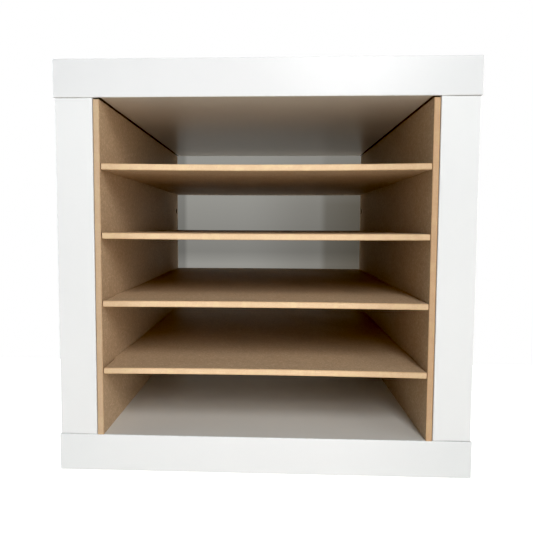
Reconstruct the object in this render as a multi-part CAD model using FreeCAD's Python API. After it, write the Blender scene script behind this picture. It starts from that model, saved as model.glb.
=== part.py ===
"""A paint rack organizer: a white cube cabinet with a loose fibreboard insert of five compartments.

The cabinet is four hollow-core boards held by screws and dowels. The insert is two upright boards
and four shelves with tabs in slots, and it slides in and out at the front. Everything is in
millimetres, +X to the right, +Y to the back and +Z up, with the origin in the middle of the
cabinet's footprint, on the surface that it stands on.
"""

import FreeCAD, Part
import os
from math import cos, pi, sin, sqrt

Vector = FreeCAD.Vector
ORIGIN = Vector(0, 0, 0)
UP = Vector(0, 0, 1)
NEAR = 0.01                # two places this close are the same place
OVERCUT = 1.0              # a cutting shape runs this far past the face that it opens
HEXAGON = 6

# ---- Cabinet ----
OPENING = 335.0            # clear width, and clear height, inside the cabinet
BOARD = 37.0               # thickness of each of the four boards
DEPTH = 390.0              # cabinet, front to back
OVERHANG = 1.5             # the top and bottom boards stand out this far past each side
SETBACK = 0.6              # the side boards stop this far short of the front and of the back
HEIGHT = OPENING + 2 * BOARD
TOP_LENGTH = HEIGHT + 2 * OVERHANG    # the sides stand as far apart as the cabinet is tall

# ---- What a hollow-core board is made of ----
SKIN = 3.0                 # fibreboard sheet on each face
BAND = 1.0                 # edging strip
BAND_ROUNDING = 0.8        # along the outer edges of an edging strip
STRIP = 35.0               # width of the front and rear frame strips
TOP_BLOCK = 45.0           # width of the end blocks in the top and bottom boards
SIDE_BLOCK = 60.0          # height of the end blocks in the side boards, which take the screws
CELL = 32.0                # paper honeycomb, across the flats of one cell
CELL_WALL = 0.4            # two layers of paper with glue

# ---- Fasteners ----
SCREW_FROM_MIDDLE = 125.0  # front to back, one ahead of the middle and one behind it
SCREW_LENGTH = 80.0        # under the head
HEAD_RADIUS = 5.0
HEAD_HEIGHT = 2.6
HEAD_ROUNDING = 0.5        # round the rim of the head
HEAD_PLAY = 0.3            # round the head, in the outer skin
SHANK_RADIUS = 3.1
SHANK_PLAY = 0.15          # round the shank, where it passes through the top or bottom board
THREAD_LENGTH = 42.0
THREAD_PITCH = 3.0
THREAD_CREST = 3.1
THREAD_ROOT = 2.4
SCREW_POINT = 4.0          # length of the cone at the tip
SOCKET_FLATS = 4.0         # hexagon socket, across the flats
SOCKET_DEPTH = 4.0
DOWEL_FROM_MIDDLE = 70.0
DOWEL_RADIUS = 4.0
DOWEL_LENGTH = 35.0
DOWEL_CHAMFER = 1.0
DOWEL_GLUE_ROOM = 1.0      # empty space past each end of a dowel
FLUTES = 12                # glue grooves round a dowel
FLUTE_RADIUS = 0.4

# ---- Insert ----
SHEET = 6.0                # fibreboard thickness of every insert piece
INSERT_WIDTH = 333.4       # over the outer faces of the upright boards
INSERT_HEIGHT = 333.2
INSERT_DEPTH = 380.0
STANDING_GAP = 0.05        # between the upright boards and the cabinet's floor
SHELF_PITCH = 67.7         # from one shelf to the next
LOWEST_SHELF = 62.45       # its underside, above the foot of the upright boards
SHELVES = 4
SHELF_END_GAP = 0.5        # between a shelf's end and the upright board, beside the tabs
TAB_LENGTH = 56.0          # along the depth
TAB_INSET = 36.0           # from the front edge to the first tab, and the same at the back
TAB_SHORTFALL = 0.2        # a tab stops this far inside the board's outer face
SLOT_PLAY = 0.2            # over a tab, and at each end of it
REAR_HOLE_RADIUS = 4.0
REAR_HOLE_FROM_BACK = 9.5
REAR_HOLE_FROM_TOP = 96.4
EASED_EDGE = 0.4           # rounding along the front edges of the fibreboard

# ---- Worked out from the above ----
FRONT = -DEPTH / 2
INNER = OPENING / 2                  # the cabinet's inner faces, left and right
JOINT_X = INNER + BOARD / 2          # the screws and dowels are in the middle of a side board
LEDGE = HEIGHT - BOARD               # underside of the top board
INSERT_BOTTOM = BOARD + STANDING_GAP
INSERT_BACK = FRONT + INSERT_DEPTH
FILLING = BOARD - 2 * SKIN           # thickness of the frame and the honeycomb


def block(x, y, z):
    """A box from three (low, high) pairs."""
    return Part.makeBox(x[1] - x[0], y[1] - y[0], z[1] - z[0], Vector(x[0], y[0], z[0]))


def hexagon(across_flats, middle, turn):
    """A flat hexagon round a point, its first corner at the given angle from +X."""
    radius = across_flats / sqrt(3)
    angles = [turn + 2 * pi * i / HEXAGON for i in range(HEXAGON + 1)]
    corners = [middle + Vector(cos(a), sin(a), 0) * radius for a in angles]
    return Part.Face(Part.makePolygon(corners))


def rounded(solid, radius, wanted):
    """The solid with its straight edges rounded where wanted(point, point) is true."""
    edges = [e for e in solid.Edges if len(e.Vertexes) == 2]
    edges = [e for e in edges if wanted(e.Vertexes[0].Point, e.Vertexes[1].Point)]
    return solid.makeFillet(radius, edges)


def save(name, pieces):
    """Writes one sub-part, a solid or a group of separate solids."""
    shape = Part.makeCompound(pieces) if isinstance(pieces, list) else pieces
    if not shape.isValid():
        raise ValueError(name + " is not a valid shape")
    shape.exportStep("parts/" + name + ".step")


# ---- Hollow-core boards ----
# Each board is built lying down, its length along X and its inner face on z = 0, then turned
# into its place.


def honeycomb(x, y, z):
    """Paper honeycomb that fills a box: a slab with hexagonal cells cut through it."""
    pitch = CELL + CELL_WALL
    row_pitch = pitch * sqrt(3) / 2
    columns = int(x[1] / pitch) + 1
    rows = int(y[1] / row_pitch) + 1
    cells = []
    for row in range(-rows, rows + 1):
        shift = pitch / 2 if row % 2 else 0
        for column in range(-columns, columns + 1):
            middle = Vector(column * pitch + shift, row * row_pitch, z[0])
            cells.append(hexagon(CELL, middle, pi / 2))
    sheet = Part.makePlane(x[1] - x[0], y[1] - y[0], Vector(x[0], y[0], z[0]))
    walls = sheet.cut(cells)
    return [face.extrude(UP * (z[1] - z[0])) for face in walls.Faces]


def long_band(end, depth, side):
    """The front (side -1) or rear (side 1) edging strip of a board from -end to end."""
    face = side * depth / 2
    strip = block((-end, end), sorted((face, face - side * BAND)), (0, BOARD))

    def outermost(a, b):
        return abs(a.y - face) < NEAR and abs(b.y - face) < NEAR

    return rounded(strip, BAND_ROUNDING, outermost)


def end_band(end, depth, side):
    """The left (side -1) or right (side 1) edging strip, between the long ones."""
    face = side * end
    y = (-depth / 2 + BAND, depth / 2 - BAND)
    strip = block(sorted((face, face - side * BAND)), y, (0, BOARD))

    def outermost(a, b):
        level = abs(a.z - b.z) < NEAR
        return level and abs(a.x - face) < NEAR and abs(b.x - face) < NEAR

    return rounded(strip, BAND_ROUNDING, outermost)


def hollow_board(length, depth, end_block, banded_ends):
    """The pieces of one board as lists of solids, keyed by what each piece is."""
    end = length / 2
    bands = [long_band(end, depth, side) for side in (-1, 1)]
    if banded_ends:
        bands += [end_band(end, depth, side) for side in (-1, 1)]
        end -= BAND
    edge = depth / 2 - BAND
    filling = (SKIN, SKIN + FILLING)
    inside_x = (-end + end_block, end - end_block)
    inside_y = (-edge + STRIP, edge - STRIP)
    frame = [
        block((-end, end), (-edge, -edge + STRIP), filling),
        block((-end, end), (edge - STRIP, edge), filling),
        block((-end, -end + end_block), inside_y, filling),
        block((end - end_block, end), inside_y, filling),
    ]
    return {
        "inner_skin": [block((-end, end), (-edge, edge), (0, SKIN))],
        "outer_skin": [block((-end, end), (-edge, edge), (BOARD - SKIN, BOARD))],
        "frame_strips": frame,
        "honeycomb_core": honeycomb(inside_x, inside_y, filling),
        "edge_bands": bands,
    }


def moved(pieces, degrees, place):
    """A board turned about Y, then moved into its place."""
    turn = FreeCAD.Rotation(Vector(0, 1, 0), degrees)
    placement = FreeCAD.Placement(place, turn)
    return {
        part: [s.transformed(placement.toMatrix()) for s in solids]
        for part, solids in pieces.items()
    }


def cabinet_boards():
    """All four boards, with each one's outer face outwards."""
    level = hollow_board(TOP_LENGTH, DEPTH, TOP_BLOCK, True)
    upright = hollow_board(OPENING, DEPTH - 2 * SETBACK, SIDE_BLOCK, False)
    middle = HEIGHT / 2
    return {
        "top": moved(level, 0, Vector(0, 0, LEDGE)),
        "bottom": moved(level, 180, Vector(0, 0, BOARD)),
        "left_side": moved(upright, -90, Vector(-INNER, 0, middle)),
        "right_side": moved(upright, 90, Vector(INNER, 0, middle)),
    }


# ---- Fasteners ----
# Each one is built on the Z axis, pointing down, with z = 0 at the joint between the boards.


def thread_outline():
    """The screw's outline from its tip up to the underside of its head, in the XZ plane."""
    head_under = BOARD - SKIN
    tip = head_under - SCREW_LENGTH
    points = [Vector(0, 0, tip), Vector(THREAD_ROOT, 0, tip + SCREW_POINT)]
    turns = int((THREAD_LENGTH - SCREW_POINT) / THREAD_PITCH)
    for turn in range(turns):
        z = tip + SCREW_POINT + turn * THREAD_PITCH
        points.append(Vector(THREAD_CREST, 0, z + THREAD_PITCH / 2))
        points.append(Vector(THREAD_ROOT, 0, z + THREAD_PITCH))
    shank_start = points[-1].z
    points.append(Vector(SHANK_RADIUS, 0, shank_start + THREAD_PITCH / 2))
    points.append(Vector(SHANK_RADIUS, 0, head_under))
    return points


def connecting_screw():
    """A connecting screw with ridged rings for its thread and a hexagon socket."""
    points = thread_outline()
    head_under = points[-1].z
    head_top = head_under + HEAD_HEIGHT
    points += [
        Vector(HEAD_RADIUS, 0, head_under),
        Vector(HEAD_RADIUS, 0, head_top),
        Vector(0, 0, head_top),
        points[0],
    ]
    screw = Part.Face(Part.makePolygon(points)).revolve(ORIGIN, UP, 360)
    rim = [
        e for e in screw.Edges
        if e.BoundBox.ZMin > head_top - NEAR and e.Length > HEAD_RADIUS
    ]
    screw = screw.makeFillet(HEAD_ROUNDING, rim)
    floor = Vector(0, 0, head_top - SOCKET_DEPTH)
    socket = hexagon(SOCKET_FLATS, floor, 0).extrude(UP * (SOCKET_DEPTH + OVERCUT))
    return screw.cut(socket)


def dowel():
    """A fluted wooden dowel, half of it on each side of the joint."""
    half = DOWEL_LENGTH / 2
    points = [
        Vector(0, 0, -half),
        Vector(DOWEL_RADIUS - DOWEL_CHAMFER, 0, -half),
        Vector(DOWEL_RADIUS, 0, -half + DOWEL_CHAMFER),
        Vector(DOWEL_RADIUS, 0, half - DOWEL_CHAMFER),
        Vector(DOWEL_RADIUS - DOWEL_CHAMFER, 0, half),
        Vector(0, 0, half),
        Vector(0, 0, -half),
    ]
    pin = Part.Face(Part.makePolygon(points)).revolve(ORIGIN, UP, 360)
    flutes = []
    start = -half - OVERCUT
    for i in range(FLUTES):
        angle = 2 * pi * i / FLUTES
        place = Vector(DOWEL_RADIUS * cos(angle), DOWEL_RADIUS * sin(angle), start)
        flutes.append(Part.makeCylinder(FLUTE_RADIUS, DOWEL_LENGTH + 2 * OVERCUT, place))
    return pin.cut(flutes)


def screw_room():
    """What a screw takes out of the boards: its head's recess, its clearance and its thread."""
    head_under = BOARD - SKIN
    mouth = Vector(0, 0, head_under)
    recess = Part.makeCylinder(HEAD_RADIUS + HEAD_PLAY, SKIN + OVERCUT, mouth)
    clearance = Part.makeCylinder(SHANK_RADIUS + SHANK_PLAY, head_under)
    reach = SCREW_LENGTH - head_under
    bite = Part.makeCylinder(THREAD_CREST, reach, Vector(0, 0, -reach))
    return [recess, clearance, bite]


def dowel_room():
    """The drilled hole for a dowel, a little deeper than the dowel at both ends."""
    half = DOWEL_LENGTH / 2 + DOWEL_GLUE_ROOM
    return [Part.makeCylinder(DOWEL_RADIUS, 2 * half, Vector(0, 0, -half))]


def at_joints(shapes, from_middle, upper):
    """Copies of a fastener, or of its room, at the four places along the top or the bottom."""
    placed = []
    for x in (-JOINT_X, JOINT_X):
        for y in (-from_middle, from_middle):
            turn = FreeCAD.Rotation(Vector(0, 1, 0), 0 if upper else 180)
            place = FreeCAD.Placement(Vector(x, y, LEDGE if upper else BOARD), turn)
            for shape in shapes:
                placed.append(shape.transformed(place.toMatrix()))
    return placed


def drilled(solids, rooms):
    """The solids with every hole that reaches them cut out."""
    result = []
    for solid in solids:
        reached = [r for r in rooms if r.BoundBox.intersect(solid.BoundBox)]
        result.append(solid.cut(reached) if reached else solid)
    return result


def build_cabinet():
    rooms = []
    for upper, level in ((True, "top"), (False, "bottom")):
        rooms += at_joints(screw_room(), SCREW_FROM_MIDDLE, upper)
        rooms += at_joints(dowel_room(), DOWEL_FROM_MIDDLE, upper)
        screws = at_joints([connecting_screw()], SCREW_FROM_MIDDLE, upper)
        save(level + "_connecting_screws", screws)
        save(level + "_dowels", at_joints([dowel()], DOWEL_FROM_MIDDLE, upper))
    for board, pieces in cabinet_boards().items():
        for part, solids in pieces.items():
            if part in ("inner_skin", "outer_skin", "frame_strips"):
                solids = drilled(solids, rooms)
            save(board + "_board_" + part, solids)


# ---- Insert ----


def shelf_bottoms():
    """The height of each shelf's underside, from the top shelf down."""
    lowest = INSERT_BOTTOM + LOWEST_SHELF
    heights = [lowest + i * SHELF_PITCH for i in range(SHELVES)]
    return heights[::-1]


def tab_stretches():
    """Where the tabs start and end, front to back."""
    front_tab = FRONT + TAB_INSET
    rear_tab = INSERT_BACK - TAB_INSET - TAB_LENGTH
    return [(y, y + TAB_LENGTH) for y in (front_tab, rear_tab)]


def on_front(a, b):
    """True for an edge that lies in the insert's front."""
    return abs(a.y - FRONT) < NEAR and abs(b.y - FRONT) < NEAR


def upright_board(side):
    """One side of the insert, with a slot for every tab and a round hole near its back edge."""
    outer = side * INSERT_WIDTH / 2
    x = sorted((outer, outer - side * SHEET))
    top = INSERT_BOTTOM + INSERT_HEIGHT
    board = block(x, (FRONT, INSERT_BACK), (INSERT_BOTTOM, top))
    board = rounded(
        board, EASED_EDGE, lambda a, b: on_front(a, b) and abs(a.z - b.z) > SHEET
    )
    past = (x[0] - OVERCUT, x[1] + OVERCUT)
    cuts = [
        block(past, (y0 - SLOT_PLAY, y1 + SLOT_PLAY), (z, z + SHEET + SLOT_PLAY))
        for z in shelf_bottoms()
        for y0, y1 in tab_stretches()
    ]
    centre = Vector(past[0], INSERT_BACK - REAR_HOLE_FROM_BACK, top - REAR_HOLE_FROM_TOP)
    hole = Part.makeCylinder(REAR_HOLE_RADIUS, past[1] - past[0], centre, Vector(1, 0, 0))
    return board.cut(cuts + [hole])


def shelf(bottom):
    """A shelf between the upright boards, with two tabs at each end."""
    end = INSERT_WIDTH / 2 - SHEET - SHELF_END_GAP
    z = (bottom, bottom + SHEET)
    plate = block((-end, end), (FRONT, INSERT_BACK), z)
    plate = rounded(
        plate, EASED_EDGE, lambda a, b: on_front(a, b) and abs(a.x - b.x) > SHEET
    )
    reach = INSERT_WIDTH / 2 - TAB_SHORTFALL
    tabs = [
        block(sorted((side * (end - SHEET), side * reach)), y, z)
        for side in (-1, 1)
        for y in tab_stretches()
    ]
    return plate.fuse(tabs).removeSplitter()


def build_insert():
    save("insert_left_upright", upright_board(-1))
    save("insert_right_upright", upright_board(1))
    for number, bottom in enumerate(shelf_bottoms(), start=1):
        save("insert_shelf_" + str(number), shelf(bottom))


os.makedirs("parts", exist_ok=True)
build_cabinet()
build_insert()
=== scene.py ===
import math

import bmesh
import bpy
from mathutils import Matrix, Vector


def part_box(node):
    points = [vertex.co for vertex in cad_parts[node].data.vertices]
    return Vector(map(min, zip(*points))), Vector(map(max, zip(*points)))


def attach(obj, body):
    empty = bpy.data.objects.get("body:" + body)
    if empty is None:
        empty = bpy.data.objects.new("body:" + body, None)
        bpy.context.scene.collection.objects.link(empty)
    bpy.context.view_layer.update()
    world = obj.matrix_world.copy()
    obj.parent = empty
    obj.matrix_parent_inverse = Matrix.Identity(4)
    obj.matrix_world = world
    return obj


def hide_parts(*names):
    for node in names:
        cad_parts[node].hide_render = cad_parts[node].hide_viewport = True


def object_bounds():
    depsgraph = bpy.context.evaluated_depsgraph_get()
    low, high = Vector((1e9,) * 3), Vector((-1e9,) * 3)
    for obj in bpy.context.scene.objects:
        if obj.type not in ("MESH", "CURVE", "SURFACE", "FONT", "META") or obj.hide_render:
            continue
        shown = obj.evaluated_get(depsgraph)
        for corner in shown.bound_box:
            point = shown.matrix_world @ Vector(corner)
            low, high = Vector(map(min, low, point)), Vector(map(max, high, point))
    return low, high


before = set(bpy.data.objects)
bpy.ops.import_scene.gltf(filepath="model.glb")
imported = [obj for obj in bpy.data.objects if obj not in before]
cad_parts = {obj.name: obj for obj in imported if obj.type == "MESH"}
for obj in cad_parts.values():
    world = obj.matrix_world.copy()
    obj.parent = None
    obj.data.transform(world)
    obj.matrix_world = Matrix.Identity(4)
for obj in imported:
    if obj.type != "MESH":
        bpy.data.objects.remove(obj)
cad_low, cad_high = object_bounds()

MM = 0.001

# Cabinet boards, by the names that their nodes start with.
BOARDS = ("top_board", "bottom_board", "left_side_board", "right_side_board")
# The foil inside is tinted darker and warmer than outside: painted shade and painted warm bounce
# light, most of all under the top board.
INNER_SHADE_TINTS = {
    "top_board": (0.86, 0.79, 0.70),
    "bottom_board": (0.90, 0.88, 0.84),
    "left_side_board": (0.90, 0.88, 0.84),
    "right_side_board": (0.90, 0.88, 0.84),
}
# Each board's edging is tinted a little lighter or darker, and bluer: painted light and shade,
# lightest on the bottom board and darkest on the right side.
EDGING_LIGHT_TINTS = {
    "top_board": (1.005, 1.005, 1.020),
    "bottom_board": (1.055, 1.065, 1.080),
    "left_side_board": (1.015, 1.020, 1.030),
    "right_side_board": (0.970, 0.980, 0.990),
}
# The long edging strips are darker towards their ends, less at the left one: painted shade.
END_SHADE_TONE = (0.89, 0.90, 0.90)
LEFT_END_SHADE_REACH = 160 * MM
LEFT_END_SHADE_SHARE = 0.45
RIGHT_END_SHADE_REACH = 150 * MM
# Painted shade in the seams at the ends of the side boards, with little of it next to the opening.
SEAM_SHADE_SHARES = {"left_side_board": 0.45, "right_side_board": 0.85}
SEAM_DEPTH = 0.70 * MM
SEAM_BLUR = 0.25 * MM
FAINT_SHADE_REACH = 4 * MM
FULL_SHADE_REACH = 16 * MM
FAINT_SHADE_SHARE = 0.25
# Painted shade: the dark line on the board over the uprights, in the gap above their tops. How far
# it reaches past an upright's inner face and in over its top, and the length of its wider front.
# Each limit has its blur.
GAP_SHADE_PAST = 1.3 * MM
GAP_SHADE_PAST_BLUR = 0.3 * MM
GAP_SHADE_OVER = 3.0 * MM
GAP_SHADE_OVER_BLUR = 0.4 * MM
GAP_SHADE_FRONT = 8.5 * MM
GAP_SHADE_FRONT_BLUR = 1.5 * MM
# A foil's finish: its least and greatest roughness, and the strength of its ripple and grain.
# The foil under the top board is never touched, so it has stayed smoother.
FOIL_FINISH = (0.30, 0.40, 0.6)
UNTOUCHED_FINISH = (0.25, 0.27, 0.1)
# The insert's sheets' tints, of the sawn edges, then of the faces. Besides a little hue, they paint
# light and shade: shelf edges lighter, upright edges darker, the left upright's faces lighter and
# the right one's darker.
UPRIGHT_LIGHT_AND_SHADE_TINTS = {
    "insert_left_upright": ((0.76, 0.76, 0.83), (1.12, 1.11, 1.11)),
    "insert_right_upright": ((0.72, 0.665, 0.66), (0.92, 0.91, 0.90)),
}
SHELF_LIGHT_TINTS = ((1.12, 1.14, 1.21), (1.02, 1.02, 1.03))
# The round hole through each upright: its axis, from the back and top of the upright, and radius.
HOLE_FROM_BACK = 9.5 * MM
HOLE_FROM_TOP = 96.4 * MM
HOLE_RADIUS = 4.0 * MM
# How far round the hole the face is fully near-black, how far it fades out, and how dark it gets.
INNER_DARK_RIM = 0.5 * MM
OUTER_DARK_RIM = 1.2 * MM
DARK_RIM_SHARE = 0.95
# Painted shade on the shelves' sawn edges towards their ends, starting at these distances from the
# middle.
SHELF_END_SHADE = (0.74, 0.72, 0.70)
SHELF_SHADE_FROM_LEFT = 105 * MM
SHELF_SHADE_FROM_RIGHT = 50 * MM
SHELF_SHADE_FULL_AT = 155 * MM
LEFT_SHELF_SHADE_SHARE = 0.70
RIGHT_SHELF_SHADE_SHARE = 0.93

# How far the middle of each shelf's front edge hangs below its ends, from the top shelf down.
# The lower two arch up.
SHELF_SAGS = (1.30 * MM, 0.45 * MM, -0.65 * MM, -1.05 * MM)
REAR_SAG_SHARE = 0.5    # of the sag at the front edge
# The visible shelves stop short of the uprights between their tabs.
LEFT_END_GAP = 1.1 * MM
RIGHT_END_GAP = 0.5 * MM
TAB_LENGTH = 56 * MM
TAB_INSET = 36 * MM
# Edges that turn by more than EASED_ANGLE are softened. Past CREASE_ANGLE they shade as creases.
EASED_EDGE = 0.4 * MM
EASED_ANGLE = math.radians(60)
CREASE_ANGLE = math.radians(30)
SHELF_COLUMNS = 32

# Camera: where it stands before the cabinet's front, and how it is turned, in radians.
CAMERA_TO_FRONT = 0.46477
CAMERA_X = 0.00953
CAMERA_Z = 0.24789
CAMERA_YAW = -0.03752
CAMERA_PITCH = -0.05933
CAMERA_ROLL = 0.00417
LENS = 32.230
SENSOR = 36.0
SHIFT_X = 0.02054
SHIFT_Y = -0.02244
BLACK_LEVEL = 0.009


# ---------------------------------------------------------------- node helpers

class Graph:
    """A material under construction, with one short call for each kind of node that repeats."""

    def __init__(self, name):
        self.material = bpy.data.materials.new(name)
        self.material.use_nodes = True
        self.tree = self.material.node_tree
        self.tree.nodes.clear()
        self.output = self.add("ShaderNodeOutputMaterial")
        self.place = self.add("ShaderNodeTexCoord").outputs["Object"]
        self.normal = self.add("ShaderNodeTexCoord").outputs["Normal"]

    def add(self, kind, **settings):
        node = self.tree.nodes.new(kind)
        for key, value in settings.items():
            setattr(node, key, value)
        return node

    def feed(self, socket, value):
        """Links socket to value where that is another node's socket, or else sets it to value."""
        if isinstance(value, bpy.types.NodeSocket):
            self.tree.links.new(value, socket)
        else:
            socket.default_value = value

    def math(self, operation, first, second=0.0):
        node = self.add("ShaderNodeMath", operation=operation)
        self.feed(node.inputs[0], first)
        self.feed(node.inputs[1], second)
        return node.outputs[0]

    def split(self, vector):
        node = self.add("ShaderNodeSeparateXYZ")
        self.feed(node.inputs[0], vector)
        return node.outputs[:]

    def stretched(self, factors):
        """The place, scaled by a factor along each axis."""
        node = self.add("ShaderNodeVectorMath", operation="MULTIPLY")
        self.feed(node.inputs[0], self.place)
        node.inputs[1].default_value = factors
        return node.outputs[0]

    def noise(self, scale, detail=2.0, roughness=0.5, vector=None):
        node = self.add("ShaderNodeTexNoise")
        self.feed(node.inputs["Vector"], vector or self.place)
        node.inputs["Scale"].default_value = scale
        node.inputs["Detail"].default_value = detail
        node.inputs["Roughness"].default_value = roughness
        return node.outputs["Fac"]

    def cells(self, scale, feature="F1", vector=None):
        node = self.add("ShaderNodeTexVoronoi", feature=feature)
        self.feed(node.inputs["Vector"], vector or self.place)
        node.inputs["Scale"].default_value = scale
        return node.outputs["Distance"]

    def span(self, value, low, high, to_low=0.0, to_high=1.0, smooth=False):
        """value, moved from the range low..high to the range to_low..to_high and held there."""
        node = self.add("ShaderNodeMapRange", interpolation_type="SMOOTHSTEP" if smooth else "LINEAR")
        for socket, number in zip(node.inputs, (value, low, high, to_low, to_high)):
            self.feed(socket, number)
        return node.outputs[0]

    def rise(self, value, at, blur):
        """0 where value is under at, 1 where it is over it, and a ramp from at - blur to at + blur."""
        return self.span(value, at - blur, at + blur)

    def fall(self, value, at, blur):
        """1 where value is under at, 0 where it is over it, and a ramp from at - blur to at + blur."""
        return self.span(value, at + blur, at - blur)

    def mix(self, share, first, second, blend="MIX"):
        node = self.add("ShaderNodeMix", data_type="RGBA", blend_type=blend)
        self.feed(node.inputs[0], share)
        self.feed(node.inputs[6], first)
        self.feed(node.inputs[7], second)
        return node.outputs[2]

    def length(self, first, second):
        """How long the vector with these two components is."""
        first_square = self.math("POWER", first, 2.0)
        second_square = self.math("POWER", second, 2.0)
        return self.math("SQRT", self.math("ADD", first_square, second_square))

    def bump(self, height, distance, strength=1.0, under=None):
        node = self.add("ShaderNodeBump")
        self.feed(node.inputs["Height"], height)
        node.inputs["Distance"].default_value = distance
        node.inputs["Strength"].default_value = strength
        if under:
            self.feed(node.inputs["Normal"], under)
        return node.outputs[0]

    def principled(self, colour, roughness, normal=None, **settings):
        node = self.add("ShaderNodeBsdfPrincipled")
        self.feed(node.inputs["Base Color"], colour)
        self.feed(node.inputs["Roughness"], roughness)
        if normal:
            self.feed(node.inputs["Normal"], normal)
        for key, value in settings.items():
            self.feed(node.inputs[key.replace("_", " ")], value)
        self.feed(self.output.inputs["Surface"], node.outputs[0])
        return self.material


def rgb(red, green, blue, tint=(1.0, 1.0, 1.0)):
    return (red * tint[0], green * tint[1], blue * tint[2], 1.0)


def join_boxes(names):
    """The lowest and highest corner of several CAD nodes together."""
    boxes = [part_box(name) for name in names]
    low = Vector([min(box[0][axis] for box in boxes) for axis in range(3)])
    high = Vector([max(box[1][axis] for box in boxes) for axis in range(3)])
    return low, high


# ---------------------------------------------------------------- materials

def edge_distance(graph, low, high):
    """How far a point on the faces of the box low..high is from that box's nearest edge, in metres."""
    middle = (low + high) / 2
    half = (high - low) / 2
    depths = []
    for coordinate, centre, reach in zip(graph.split(graph.place), middle, half):
        offset = graph.math("ABSOLUTE", graph.math("SUBTRACT", coordinate, centre))
        depths.append(graph.math("SUBTRACT", reach, offset))
    first, second, third = depths
    lesser = graph.math("MINIMUM", first, second)
    greater = graph.math("MAXIMUM", first, second)
    return graph.math("MAXIMUM", lesser, graph.math("MINIMUM", greater, third))


def painted_gap_shade(graph):
    """Painted shade in the gaps over the insert's uprights: a dark line with a wider front."""
    across, along, _ = graph.split(graph.place)
    across = graph.math("ABSOLUTE", across)
    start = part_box("insert_right_upright")[0]
    past = graph.rise(across, start.x - GAP_SHADE_PAST, GAP_SHADE_PAST_BLUR)
    over = graph.fall(across, start.x + GAP_SHADE_OVER, GAP_SHADE_OVER_BLUR)
    front = graph.fall(along, start.y + GAP_SHADE_FRONT, GAP_SHADE_FRONT_BLUR)
    return graph.math("MULTIPLY", past, graph.math("MAXIMUM", over, front))


def white_foil(name, low, high, tint=(1.0, 1.0, 1.0), marks=None, finish=FOIL_FINISH):
    """Printed white foil on a board: a faint ripple, hairline scuffs and rubbed edges.

    marks makes the share of painted shade at a place, where there is any.
    """
    smoothest, roughest, relief = finish
    graph = Graph(name)
    dull = rgb(0.745, 0.745, 0.732, tint)
    clean = rgb(0.768, 0.768, 0.756, tint)
    scuffed = rgb(0.74, 0.74, 0.73, tint)
    worn = rgb(0.70, 0.69, 0.66, tint)
    gap_shade_dark = rgb(0.050, 0.030, 0.018)
    tone = graph.mix(graph.span(graph.noise(5.0, 3.0), 0.3, 0.7), dull, clean)
    scuff = graph.noise(1.0, 4.0, 0.7, graph.stretched((14.0, 900.0, 500.0)))
    tone = graph.mix(graph.span(scuff, 0.72, 0.80, 0.0, 0.35), tone, scuffed)
    chips = graph.span(graph.noise(260.0, 3.0, 0.6), 0.45, 0.62)
    edge = graph.span(edge_distance(graph, low, high), 0.9 * MM, 0.0)
    rubbed = graph.math("MULTIPLY", edge, chips)
    tone = graph.mix(graph.math("MULTIPLY", rubbed, 0.5), tone, worn)
    # marks paints shade where it is given: the dark gap line over the uprights.
    if marks:
        tone = graph.mix(graph.math("MULTIPLY", marks(graph), 0.93), tone, gap_shade_dark)
    roughness = graph.span(graph.noise(30.0, 4.0), 0.3, 0.7, smoothest, roughest)
    roughness = graph.math("SUBTRACT", roughness, graph.math("MULTIPLY", rubbed, 0.08))
    ripple = graph.bump(graph.noise(90.0, 2.0), 0.06 * MM, relief)
    grain = graph.bump(graph.noise(1500.0, 2.0), 0.012 * MM, relief, ripple)
    return graph.principled(tone, roughness, grain, Specular_IOR_Level=0.45)


def painted_seam_shade(graph, low, high):
    """Painted shade in the seams over and under a side board, less of it beside the opening."""
    across, _, height = graph.split(graph.place)
    under = graph.math("SUBTRACT", height, low.z)
    over = graph.math("SUBTRACT", high.z, height)
    nearest = graph.math("MINIMUM", under, over)
    opening = min(abs(low.x), abs(high.x))
    outward = graph.math("ABSOLUTE", across)
    outward = graph.span(outward, opening + FAINT_SHADE_REACH, opening + FULL_SHADE_REACH, FAINT_SHADE_SHARE, 1.0)
    return graph.math("MULTIPLY", graph.fall(nearest, SEAM_DEPTH, SEAM_BLUR), outward)


def painted_end_shade(graph, low, high):
    """How much painted shade a place on the long strips has: most at the right end, some at the left.
    """
    across = graph.split(graph.place)[0]
    left = graph.span(across, low.x + LEFT_END_SHADE_REACH, low.x, 0.0, LEFT_END_SHADE_SHARE, smooth=True)
    right = graph.span(across, high.x - RIGHT_END_SHADE_REACH, high.x, smooth=True)
    return graph.math("ADD", left, right)


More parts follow.
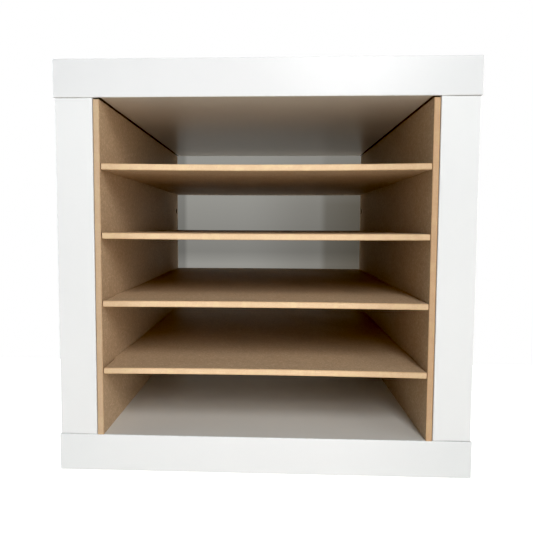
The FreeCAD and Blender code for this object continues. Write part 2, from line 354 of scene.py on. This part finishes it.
def white_edging(name, low, high, tint, seam_shade=0.0):
    """Moulded white edging strip, smoother than the foil, with faint marks from the trimming."""
    graph = Graph(name)
    dull = rgb(0.796, 0.806, 0.804, tint)
    clean = rgb(0.805, 0.815, 0.813, tint)
    worn = rgb(0.66, 0.65, 0.62)
    seam_dark = rgb(0.20, 0.19, 0.185)
    tone = graph.mix(graph.span(graph.noise(7.0, 2.0), 0.3, 0.7), dull, clean)
    # Painted shade towards the ends of the long strips.
    if high.x - low.x > high.z - low.z:
        tone = graph.mix(painted_end_shade(graph, low, high), tone, rgb(*END_SHADE_TONE), "MULTIPLY")
    chips = graph.span(graph.noise(320.0, 3.0, 0.6), 0.42, 0.62)
    edge = graph.span(edge_distance(graph, low, high), 1.0 * MM, 0.0)
    rubbed = graph.math("MULTIPLY", edge, chips)
    tone = graph.mix(graph.math("MULTIPLY", rubbed, 0.6), tone, worn)
    # Painted shade in the seams at the ends of a side board.
    if seam_shade:
        seam_mask = graph.math("MULTIPLY", painted_seam_shade(graph, low, high), seam_shade)
        tone = graph.mix(seam_mask, tone, seam_dark)
    chatter = graph.noise(1.0, 2.0, 0.5, graph.stretched((700.0, 120.0, 700.0)))
    roughness = graph.span(graph.noise(45.0, 3.0), 0.3, 0.7, 0.30, 0.35)
    wave = graph.bump(graph.noise(70.0), 0.02 * MM, 0.5)
    normal = graph.bump(chatter, 0.010 * MM, 0.6, wave)
    return graph.principled(tone, roughness, normal, Specular_IOR_Level=0.5)


def painted_shelf_end_shade(graph):
    """How much painted shade a place has: towards both ends of a shelf, more at the right."""
    across = graph.split(graph.place)[0]
    left = graph.span(
        across, -SHELF_SHADE_FROM_LEFT, -SHELF_SHADE_FULL_AT, 0.0, LEFT_SHELF_SHADE_SHARE, smooth=True)
    right = graph.span(
        across, SHELF_SHADE_FROM_RIGHT, SHELF_SHADE_FULL_AT, 0.0, RIGHT_SHELF_SHADE_SHARE, smooth=True)
    return graph.math("ADD", left, right)


def dark_hole_mask(graph):
    """Where the hole near the back of each upright is made near-black: its bore and a thin rim round
    it.
    """
    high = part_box("insert_right_upright")[1]
    _, along, height = graph.split(graph.place)
    along = graph.math("SUBTRACT", along, high.y - HOLE_FROM_BACK)
    height = graph.math("SUBTRACT", height, high.z - HOLE_FROM_TOP)
    distance = graph.length(along, height)
    return graph.span(distance, HOLE_RADIUS + OUTER_DARK_RIM, HOLE_RADIUS + INNER_DARK_RIM, 0.0, DARK_RIM_SHARE)


def fibreboard(name, thin_axis, layer, tints, end_shade=None, hole_mask=None):
    """Raw fibreboard. Its sanded faces look across thin_axis; the rest are sawn cuts.

    layer makes the place within the sheet's thickness, from -1 at one face to 1 at the other.
    tints has the tint of the cuts and that of the faces, which also paint light and shade. handled
    makes the share of painted shade on the cuts, and singed the share of near-black on all of it,
    where there is any.
    """
    edge_tint, face_tint = tints
    graph = Graph(name)
    facing = graph.math("ABSOLUTE", graph.split(graph.normal)["XYZ".index(thin_axis)])
    face = graph.span(facing, 0.80, 0.92)

    lengthwise = graph.noise(1.0, 3.0, 0.6, graph.stretched((420.0, 1900.0, 1900.0)))
    crosswise = graph.noise(1.0, 3.0, 0.6, graph.stretched((1900.0, 420.0, 1900.0)))
    upright = graph.noise(1.0, 3.0, 0.6, graph.stretched((1900.0, 1900.0, 420.0)))
    fibres = graph.math("MAXIMUM", graph.math("MAXIMUM", lengthwise, crosswise), upright)
    clouds = graph.noise(16.0, 4.0, 0.55)
    patches = graph.noise(75.0, 3.0, 0.6)
    mottle = graph.noise(230.0, 3.0, 0.65)
    flecks = graph.noise(520.0, 2.0, 0.6)
    specks = graph.span(graph.cells(420.0), 0.16, 0.06)
    scarce = graph.span(graph.noise(140.0, 1.0), 0.52, 0.60)
    specks = graph.math("MULTIPLY", specks, scarce)

    dark = rgb(0.425, 0.294, 0.178, face_tint)
    light = rgb(0.595, 0.437, 0.280, face_tint)
    face_colour = graph.mix(graph.span(fibres, 0.46, 0.74), dark, light)
    red_cloud = rgb(0.480, 0.324, 0.188, face_tint)
    face_colour = graph.mix(graph.span(clouds, 0.32, 0.68, 0.0, 0.30), face_colour, red_cloud)
    pale_patch = rgb(0.620, 0.464, 0.305, face_tint)
    face_colour = graph.mix(graph.span(patches, 0.36, 0.68, 0.0, 0.22), face_colour, pale_patch)
    dark_mottle = rgb(0.395, 0.272, 0.168, face_tint)
    face_colour = graph.mix(graph.span(mottle, 0.38, 0.62, 0.0, 0.52), face_colour, dark_mottle)
    pale_fleck = rgb(0.660, 0.500, 0.334, face_tint)
    face_colour = graph.mix(graph.span(flecks, 0.53, 0.66, 0.0, 0.60), face_colour, pale_fleck)
    bark = rgb(0.20, 0.125, 0.07)
    face_colour = graph.mix(graph.math("MULTIPLY", specks, 0.45), face_colour, bark)

    dense = graph.span(graph.math("ABSOLUTE", layer(graph)), 0.55, 0.97, smooth=True)
    core = rgb(0.770, 0.560, 0.340, edge_tint)
    crust = rgb(0.650, 0.430, 0.235, edge_tint)
    shade = rgb(0.610, 0.400, 0.210, edge_tint)
    yellow = rgb(0.780, 0.600, 0.330, edge_tint)
    cut_bark = rgb(0.36, 0.21, 0.10)
    cut_colour = graph.mix(dense, core, crust)
    cut_colour = graph.mix(graph.span(fibres, 0.62, 0.48, 0.0, 0.40), cut_colour, shade)
    cut_colour = graph.mix(graph.span(patches, 0.40, 0.66, 0.0, 0.30), cut_colour, crust)
    blotch = graph.span(graph.noise(110.0, 1.0, 0.5), 0.52, 0.66, 0.0, 0.40)
    cut_colour = graph.mix(blotch, cut_colour, yellow)
    cut_colour = graph.mix(graph.math("MULTIPLY", specks, 0.5), cut_colour, cut_bark)
    # Painted shade on the cuts towards the shelf's ends.
    if end_shade:
        cut_colour = graph.mix(end_shade(graph), cut_colour, rgb(*SHELF_END_SHADE), "MULTIPLY")

    colour = graph.mix(face, cut_colour, face_colour)
    # Near-black in and round the hole near the back of each upright.
    if hole_mask:
        near_black = rgb(0.030, 0.018, 0.010)
        colour = graph.mix(hole_mask(graph), colour, near_black)
    roughness = graph.span(clouds, 0.3, 0.7, -0.04, 0.05)
    roughness = graph.math("ADD", graph.span(face, 0.0, 1.0, 0.86, 0.56), roughness)
    nap = graph.bump(fibres, 0.05 * MM, 0.5)
    saw = graph.noise(1.0, 2.0, 0.6, graph.stretched((260.0, 260.0, 260.0)))
    marks = graph.math("MULTIPLY", saw, graph.span(face, 0.0, 1.0, 1.0, 0.15))
    normal = graph.bump(marks, 0.10 * MM, 0.5, nap)
    return graph.principled(colour, roughness, normal, Specular_IOR_Level=0.30)


def chipboard(name):
    """Pressed wood chips, for the frames hidden in the boards."""
    graph = Graph(name)
    chips = graph.cells(240.0, "SMOOTH_F1", graph.stretched((1.0, 0.45, 1.0)))
    flakes = graph.noise(320.0, 4.0, 0.65)
    tone = graph.mix(graph.span(chips, 0.1, 0.7), rgb(0.52, 0.36, 0.20), rgb(0.36, 0.23, 0.12))
    tone = graph.mix(graph.span(flakes, 0.4, 0.65, 0.0, 0.6), tone, rgb(0.62, 0.47, 0.29))
    normal = graph.bump(flakes, 0.15 * MM, 0.7, graph.bump(chips, 0.2 * MM, 0.6))
    return graph.principled(tone, graph.span(flakes, 0.3, 0.7, 0.75, 0.92), normal)


def honeycomb_paper(name):
    """Grey-brown recycled paper of a honeycomb core, with fibres and flecks."""
    graph = Graph(name)
    fibres = graph.noise(1.0, 4.0, 0.7, graph.stretched((900.0, 900.0, 240.0)))
    flecks = graph.span(graph.cells(700.0), 0.18, 0.05)
    tone = graph.mix(graph.span(fibres, 0.35, 0.68), rgb(0.36, 0.26, 0.17), rgb(0.50, 0.38, 0.26))
    tone = graph.mix(graph.math("MULTIPLY", flecks, 0.4), tone, rgb(0.18, 0.13, 0.09))
    roughness = graph.span(fibres, 0.3, 0.7, 0.85, 0.95)
    return graph.principled(tone, roughness, graph.bump(fibres, 0.05 * MM, 0.6))


def zinc_steel(name):
    """Zinc-plated steel: bright with a blue cast, clouded where the plating is thin, finely turned."""
    graph = Graph(name)
    cloud = graph.noise(220.0, 4.0, 0.6)
    tone = graph.mix(graph.span(cloud, 0.35, 0.65), rgb(0.60, 0.62, 0.66), rgb(0.74, 0.75, 0.76))
    stain = graph.span(graph.noise(900.0, 3.0), 0.60, 0.70, 0.0, 0.35)
    tone = graph.mix(stain, tone, rgb(0.42, 0.41, 0.38))
    roughness = graph.span(cloud, 0.3, 0.7, 0.24, 0.42)
    turning = graph.noise(1.0, 2.0, 0.5, graph.stretched((300.0, 300.0, 5200.0)))
    return graph.principled(tone, roughness, graph.bump(turning, 0.01 * MM, 0.5), Metallic=1.0)


def beech(name):
    """Beech dowels: grain along them, short dark rays and compressed flutes."""
    graph = Graph(name)
    grain = graph.noise(1.0, 4.0, 0.6, graph.stretched((1100.0, 1100.0, 45.0)))
    rays = graph.span(graph.noise(1.0, 2.0, 0.5, graph.stretched((2600.0, 2600.0, 420.0))), 0.64, 0.72)
    tone = graph.mix(graph.span(grain, 0.35, 0.65), rgb(0.52, 0.33, 0.18), rgb(0.68, 0.48, 0.29))
    tone = graph.mix(graph.math("MULTIPLY", rays, 0.6), tone, rgb(0.34, 0.19, 0.09))
    roughness = graph.span(grain, 0.3, 0.7, 0.48, 0.66)
    return graph.principled(tone, roughness, graph.bump(grain, 0.04 * MM, 0.6))


def dress(node, material):
    """Gives a CAD node its material."""
    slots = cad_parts[node].data.materials
    slots.clear()
    slots.append(material)


def dress_cabinet():
    strip_material = chipboard("chipboard_frame")
    core_material = honeycomb_paper("honeycomb_paper")
    for board in BOARDS:
        outer = f"{board}_outer_skin"
        inner = f"{board}_inner_skin"
        bands = f"{board}_edge_bands"
        low, high = join_boxes([outer, inner, bands])
        dress(outer, white_foil(f"{board}_outer_foil", low, high))
        # The painted shade over the uprights' tops goes on the top board's inner foil.
        marks = painted_gap_shade if board == "top_board" else None
        finish = UNTOUCHED_FINISH if board == "top_board" else FOIL_FINISH
        dress(inner, white_foil(f"{board}_inner_foil", low, high, INNER_SHADE_TINTS[board], marks, finish))
        seam_shade = SEAM_SHADE_SHARES.get(board, 0.0)
        dress(bands, white_edging(f"{board}_edging", low, high, EDGING_LIGHT_TINTS[board], seam_shade))
        dress(f"{board}_frame_strips", strip_material)
        dress(f"{board}_honeycomb_core", core_material)
    steel = zinc_steel("zinc_plated_steel")
    wood = beech("beech_wood")
    for side in ("top", "bottom"):
        dress(f"{side}_connecting_screws", steel)
        dress(f"{side}_dowels", wood)


def dress_uprights():
    for upright in UPRIGHT_LIGHT_AND_SHADE_TINTS:
        low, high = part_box(upright)
        middle = (low.x + high.x) / 2
        half = (high.x - low.x) / 2

        def layer(graph, middle=middle, half=half):
            across = graph.split(graph.place)[0]
            return graph.math("DIVIDE", graph.math("SUBTRACT", across, middle), half)

        tints = UPRIGHT_LIGHT_AND_SHADE_TINTS[upright]
        board = fibreboard(f"{upright}_fibreboard", "X", layer, tints, hole_mask=dark_hole_mask)
        dress(upright, board)


# ---------------------------------------------------------------- shelves

def shelf_outline(low, high):
    """The shelf's columns and rows, and the rows where its tabs reach out into the uprights."""
    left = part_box("insert_left_upright")[1].x + LEFT_END_GAP
    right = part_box("insert_right_upright")[0].x - RIGHT_END_GAP
    columns = [left + (right - left) * step / SHELF_COLUMNS for step in range(SHELF_COLUMNS + 1)]
    tabs = [(low.y + TAB_INSET, low.y + TAB_INSET + TAB_LENGTH),
            (high.y - TAB_INSET - TAB_LENGTH, high.y - TAB_INSET)]
    rows = [low.y, *tabs[0], *tabs[1], high.y]
    gap = tabs[1][0] - tabs[0][1]
    rows += [tabs[0][1] + gap * share for share in (0.25, 0.5, 0.75)]
    return [low.x] + columns + [high.x], sorted(rows), tabs


def make_shelf(number, sag):
    """One shelf, with its tabs, softened edges and slight bow, in place of the flat CAD shelf."""
    node = f"insert_shelf_{number}"
    low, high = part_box(node)
    columns, rows, tabs = shelf_outline(low, high)
    shape = bmesh.new()
    grid = {}

    def corner(column, row):
        if (column, row) not in grid:
            grid[column, row] = shape.verts.new((columns[column], rows[row], high.z))
        return grid[column, row]

    for row in range(len(rows) - 1):
        middle = (rows[row] + rows[row + 1]) / 2
        at_tab = any(start < middle < stop for start, stop in tabs)
        first, last = (0, len(columns) - 1) if at_tab else (1, len(columns) - 2)
        for column in range(first, last):
            corners = ((column, row), (column + 1, row), (column + 1, row + 1), (column, row + 1))
            shape.faces.new([corner(*place) for place in corners])
    under = bmesh.ops.extrude_face_region(shape, geom=shape.faces[:])["geom"]
    for vertex in under:
        if isinstance(vertex, bmesh.types.BMVert):
            vertex.co.z = low.z
    bmesh.ops.recalc_face_normals(shape, faces=shape.faces[:])
    sharp = [edge for edge in shape.edges if edge.calc_face_angle(0.0) > EASED_ANGLE]
    bmesh.ops.bevel(
        shape, geom=sharp, offset=EASED_EDGE, segments=2, affect="EDGES", clamp_overlap=True)

    layer = shape.verts.layers.float.new("sheet_layer")
    end = columns[-2]
    for vertex in shape.verts:
        vertex[layer] = (vertex.co.z - (low.z + high.z) / 2) / ((high.z - low.z) / 2)
        across = min(1.0, abs(vertex.co.x) / end)
        along = (vertex.co.y - low.y) / (high.y - low.y)
        share = 1.0 + (REAR_SAG_SHARE - 1.0) * along
        vertex.co.z -= sag * share * (1.0 - across ** 2)

    mesh = bpy.data.meshes.new(f"shelf_{number}_sheet")
    shape.to_mesh(mesh)
    shape.free()
    mesh.shade_smooth()
    mesh.set_sharp_from_angle(angle=CREASE_ANGLE)
    shelf = bpy.data.objects.new(f"shelf_{number}_sheet", mesh)
    bpy.context.scene.collection.objects.link(shelf)
    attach(shelf, "insert")
    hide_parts(node)
    return shelf


def make_shelves():
    def layer(graph):
        return graph.add("ShaderNodeAttribute", attribute_name="sheet_layer").outputs["Fac"]

    board = fibreboard("shelf_fibreboard", "Z", layer, SHELF_LIGHT_TINTS, painted_shelf_end_shade)
    for number, sag in enumerate(SHELF_SAGS, start=1):
        make_shelf(number, sag).data.materials.append(board)


# ---------------------------------------------------------------- studio

FLOOR_REACH = 6.0
WALL_GAP = 0.105
WALL_HEIGHT = 3.0
CARD_GAP = 3 * MM
CARD_INSET = 10 * MM
SWEEP_RADIUS = 0.10
SWEEP_STEPS = 24
FLOOR_DROP = 0.1 * MM
# The seen floor glows a little, more so away from the cabinet, which keeps it evenly white.
NEAR_GLOW = 0.75
NEAR_REACH = 0.35
FAR_GLOW = 1.0
FAR_REACH = 0.75
BOUNCE_TINT = (0.88, 0.79, 0.69)


def stage_object(name, vertices, faces, material):
    mesh = bpy.data.meshes.new(name)
    mesh.from_pydata(vertices, [], faces)
    mesh.materials.append(material)
    mesh.shade_smooth()
    thing = bpy.data.objects.new(name, mesh)
    bpy.context.scene.collection.objects.link(thing)
    return thing


def floor_glow(graph):
    across, along, _ = graph.split(graph.place)
    distance = graph.length(across, along)
    return graph.span(distance, NEAR_REACH, FAR_REACH, NEAR_GLOW, FAR_GLOW, smooth=True)


def floor_paint(name, tint, glow=None):
    """Matt floor paint, a little uneven. glow makes its own light at a place, where it has any."""
    graph = Graph(name)
    dull = rgb(0.93, 0.93, 0.93, tint)
    clean = rgb(0.95, 0.95, 0.95, tint)
    tone = graph.mix(graph.span(graph.noise(3.0, 3.0), 0.3, 0.7), dull, clean)
    light = {"Emission_Color": rgb(1.0, 1.0, 1.0), "Emission_Strength": glow(graph)} if glow else {}
    return graph.principled(tone, 0.85, Specular_IOR_Level=0.2, **light)


def card_grey(graph):
    """The shade card's brightness: darker in steps to the right, near its left end and half way up."""
    pale = rgb(0.325, 0.320, 0.296)
    dark = rgb(0.122, 0.110, 0.088)
    black = rgb(0.0, 0.0, 0.0)
    across, _, height = graph.split(graph.place)
    slope = graph.span(across, -53 * MM, 90 * MM, 0.0, 0.38, smooth=True)
    step = graph.span(across, 89.5 * MM, 106.5 * MM, 0.0, 0.40, smooth=True)
    right_end = graph.span(across, 106.5 * MM, 171 * MM, 0.0, 0.22)
    darkness = graph.math("ADD", slope, graph.math("ADD", step, right_end))
    paler_top = graph.span(height, 384 * MM, 285.5 * MM, 0.35, 1.0)
    grey = graph.mix(graph.math("MULTIPLY", darkness, paler_top), pale, dark)
    left_strip = graph.span(across, -152 * MM, -145 * MM, 0.68, 1.0)
    over_band = graph.span(height, 205 * MM, 294.5 * MM, 0.70, 0.93)
    under_band = graph.span(height, 201.5 * MM, 180 * MM, 0.70, 0.95)
    level = graph.math("MULTIPLY", left_strip, graph.math("MAXIMUM", over_band, under_band))
    return graph.mix(level, black, grey)


def glowing_paper(name, paint):
    """Evenly lit paper that can't be seen from its rear. paint makes its brightness at a place."""
    graph = Graph(name)
    glow = graph.add("ShaderNodeEmission")
    graph.feed(glow.inputs["Color"], paint(graph))
    clear = graph.add("ShaderNodeBsdfTransparent")
    either = graph.add("ShaderNodeMixShader")
    graph.feed(either.inputs[0], graph.add("ShaderNodeNewGeometry").outputs["Backfacing"])
    graph.feed(either.inputs[1], glow.outputs[0])
    graph.feed(either.inputs[2], clear.outputs[0])
    graph.feed(graph.output.inputs["Surface"], either.outputs[0])
    return graph.material


def make_floors():
    """Two floors in one place: a white one that is seen, and under it one that only reflects."""
    corners = [(x * FLOOR_REACH, y * FLOOR_REACH) for x, y in ((-1, -1), (1, -1), (1, 1), (-1, 1))]
    square = [(0, 1, 2, 3)]
    top = cad_low.z - FLOOR_DROP
    paint = floor_paint("glowing_floor_paint", (1.0, 1.0, 1.0), floor_glow)
    seen = stage_object("studio_floor", [(x, y, top) for x, y in corners], square, paint)
    seen.visible_diffuse = False
    seen.visible_glossy = False
    seen.visible_shadow = False
    paint = floor_paint("warm_floor_paint", BOUNCE_TINT)
    under = top - FLOOR_DROP
    plain = stage_object("bounce_floor", [(x, y, under) for x, y in corners], square, paint)
    plain.visible_camera = False


def make_backdrop():
    """A wall behind the cabinet that sweeps down into the floor."""
    wall_y = cad_high.y + WALL_GAP
    foot = cad_low.z - FLOOR_DROP / 2
    profile = []
    for step in range(SWEEP_STEPS + 1):
        turn = math.pi / 2 * step / SWEEP_STEPS
        forward = SWEEP_RADIUS * (1 - math.sin(turn))
        rise = SWEEP_RADIUS * (1 - math.cos(turn))
        profile.append((wall_y - forward, foot + rise))
    profile.append((wall_y, WALL_HEIGHT))
    vertices = [(side * FLOOR_REACH, y, z) for y, z in profile for side in (-1, 1)]
    faces = [(2 * i, 2 * i + 1, 2 * i + 3, 2 * i + 2) for i in range(len(profile) - 1)]
    paper = glowing_paper("backdrop_paper", lambda graph: rgb(1.0, 1.0, 1.0))
    wall = stage_object("studio_backdrop", vertices, faces, paper)
    wall.visible_diffuse = False
    wall.visible_shadow = False


def make_shade_card():
    """A grey card close behind the cabinet, for the shade that shows through its open back."""
    card_y = cad_high.y + CARD_GAP
    ends = (cad_low.x + CARD_INSET, cad_high.x - CARD_INSET)
    heights = (cad_low.z + CARD_INSET, cad_high.z - CARD_INSET)
    vertices = [(x, card_y, z) for z in heights for x in ends]
    paper = glowing_paper("shade_card_paper", card_grey)
    card = stage_object("shade_card", vertices, [(0, 1, 3, 2)], paper)
    card.visible_diffuse = False
    card.visible_shadow = False


def aim(thing, place, target):
    direction = Vector(target) - Vector(place)
    turn = direction.to_track_quat("-Z", "Y").to_matrix().to_4x4()
    thing.matrix_world = Matrix.Translation(place) @ turn


TARGET = (0.0, -0.10, 0.20)
# Each softbox: where it stands, the length of its sides, and its power in red, green and blue.
SOFTBOXES = {
    "high_window": ((0.46, -2.28, 2.21), 0.6, (22.6, 22.9, 23.2)),
    "middle_window": ((0.52, -2.56, 1.83), 0.6, (14.8, 15.0, 15.1)),
    "low_window": ((0.57, -2.76, 1.47), 0.6, (11.2, 11.2, 11.2)),
    "key": ((1.30, -1.00, 0.60), 0.9, (7.0, 7.0, 7.0)),
    "left_fill": ((-1.60, -0.20, 0.80), 1.0, (5.8, 7.0, 8.1)),
    "near_left": ((-0.35, -0.95, 0.45), 0.3, (0.66, 0.67, 0.67)),
    "left_side": ((-1.80, 0.15, 0.60), 0.8, (10.0, 10.0, 10.0)),
    "right_side": ((1.80, 0.15, 0.60), 0.8, (8.0, 8.0, 8.0)),
    "floor_bounce": ((0.00, -1.40, 0.10), 0.2, (1.5, 1.6, 1.7)),
}
REAR_SUN = 1.1
REAR_PLACE = (0.0, 2.0, 0.2)
REAR_TARGET = (0.0, 0.0, 0.2)
TOP_SPOT = 20.0
TOP_PLACE = (0.0, 0.0, 1.6)
TOP_TARGET = (0.0, 0.0, 0.0)


def make_light(name, kind, place, target, **settings):
    data = bpy.data.lights.new(name, kind)
    for key, value in settings.items():
        setattr(data, key, value)
    light = bpy.data.objects.new(name, data)
    bpy.context.scene.collection.objects.link(light)
    aim(light, place, target)
    return light


def make_lights():
    for name, (place, size, power) in SOFTBOXES.items():
        colour = [share / max(power) for share in power]
        softbox = make_light(f"{name}_softbox", "AREA", place, TARGET,
                             shape="SQUARE", size=size, energy=max(power), color=colour)
        softbox.visible_camera = False
    rear = make_light("rear_light", "SUN", REAR_PLACE, REAR_TARGET,
                      energy=REAR_SUN, angle=math.radians(8))
    rear.visible_glossy = False
    top = make_light("top_light", "SPOT", TOP_PLACE, TOP_TARGET, energy=TOP_SPOT,
                     shadow_soft_size=0.15, spot_size=math.radians(34), spot_blend=0.3)
    top.visible_glossy = False

    world = bpy.data.worlds.new("studio_air")
    world.use_nodes = True
    world.node_tree.nodes["Background"].inputs["Color"].default_value = rgb(1.0, 1.0, 1.0)
    world.cycles_visibility.diffuse = False
    world.cycles_visibility.glossy = False
    bpy.context.scene.world = world


def make_camera():
    data = bpy.data.cameras.new("photo_camera")
    data.sensor_width = SENSOR
    data.lens = LENS
    data.shift_x = SHIFT_X
    data.shift_y = SHIFT_Y
    data.clip_start = 0.01
    camera = bpy.data.objects.new("photo_camera", data)
    bpy.context.scene.collection.objects.link(camera)
    forward = Vector((math.sin(CAMERA_YAW) * math.cos(CAMERA_PITCH),
                      math.cos(CAMERA_YAW) * math.cos(CAMERA_PITCH),
                      math.sin(CAMERA_PITCH)))
    level = Vector((math.cos(CAMERA_YAW), -math.sin(CAMERA_YAW), 0.0))
    over = level.cross(forward)
    right = level * math.cos(CAMERA_ROLL) + over * math.sin(CAMERA_ROLL)
    up = over * math.cos(CAMERA_ROLL) - level * math.sin(CAMERA_ROLL)
    turn = Matrix((right, up, -forward)).transposed().to_4x4()
    place = Vector((CAMERA_X, cad_low.y - CAMERA_TO_FRONT, CAMERA_Z))
    camera.matrix_world = Matrix.Translation(place) @ turn
    bpy.context.scene.camera = camera


def set_tones():
    """Plain tones, with the darkest greys pulled down to black."""
    view = bpy.context.scene.view_settings
    view.view_transform = "Standard"
    view.look = "None"
    view.use_curve_mapping = True
    view.curve_mapping.black_level = (BLACK_LEVEL, BLACK_LEVEL, BLACK_LEVEL)
    view.curve_mapping.update()


dress_cabinet()
dress_uprights()
make_shelves()
make_floors()
make_backdrop()
make_shade_card()
make_lights()
make_camera()
set_tones()
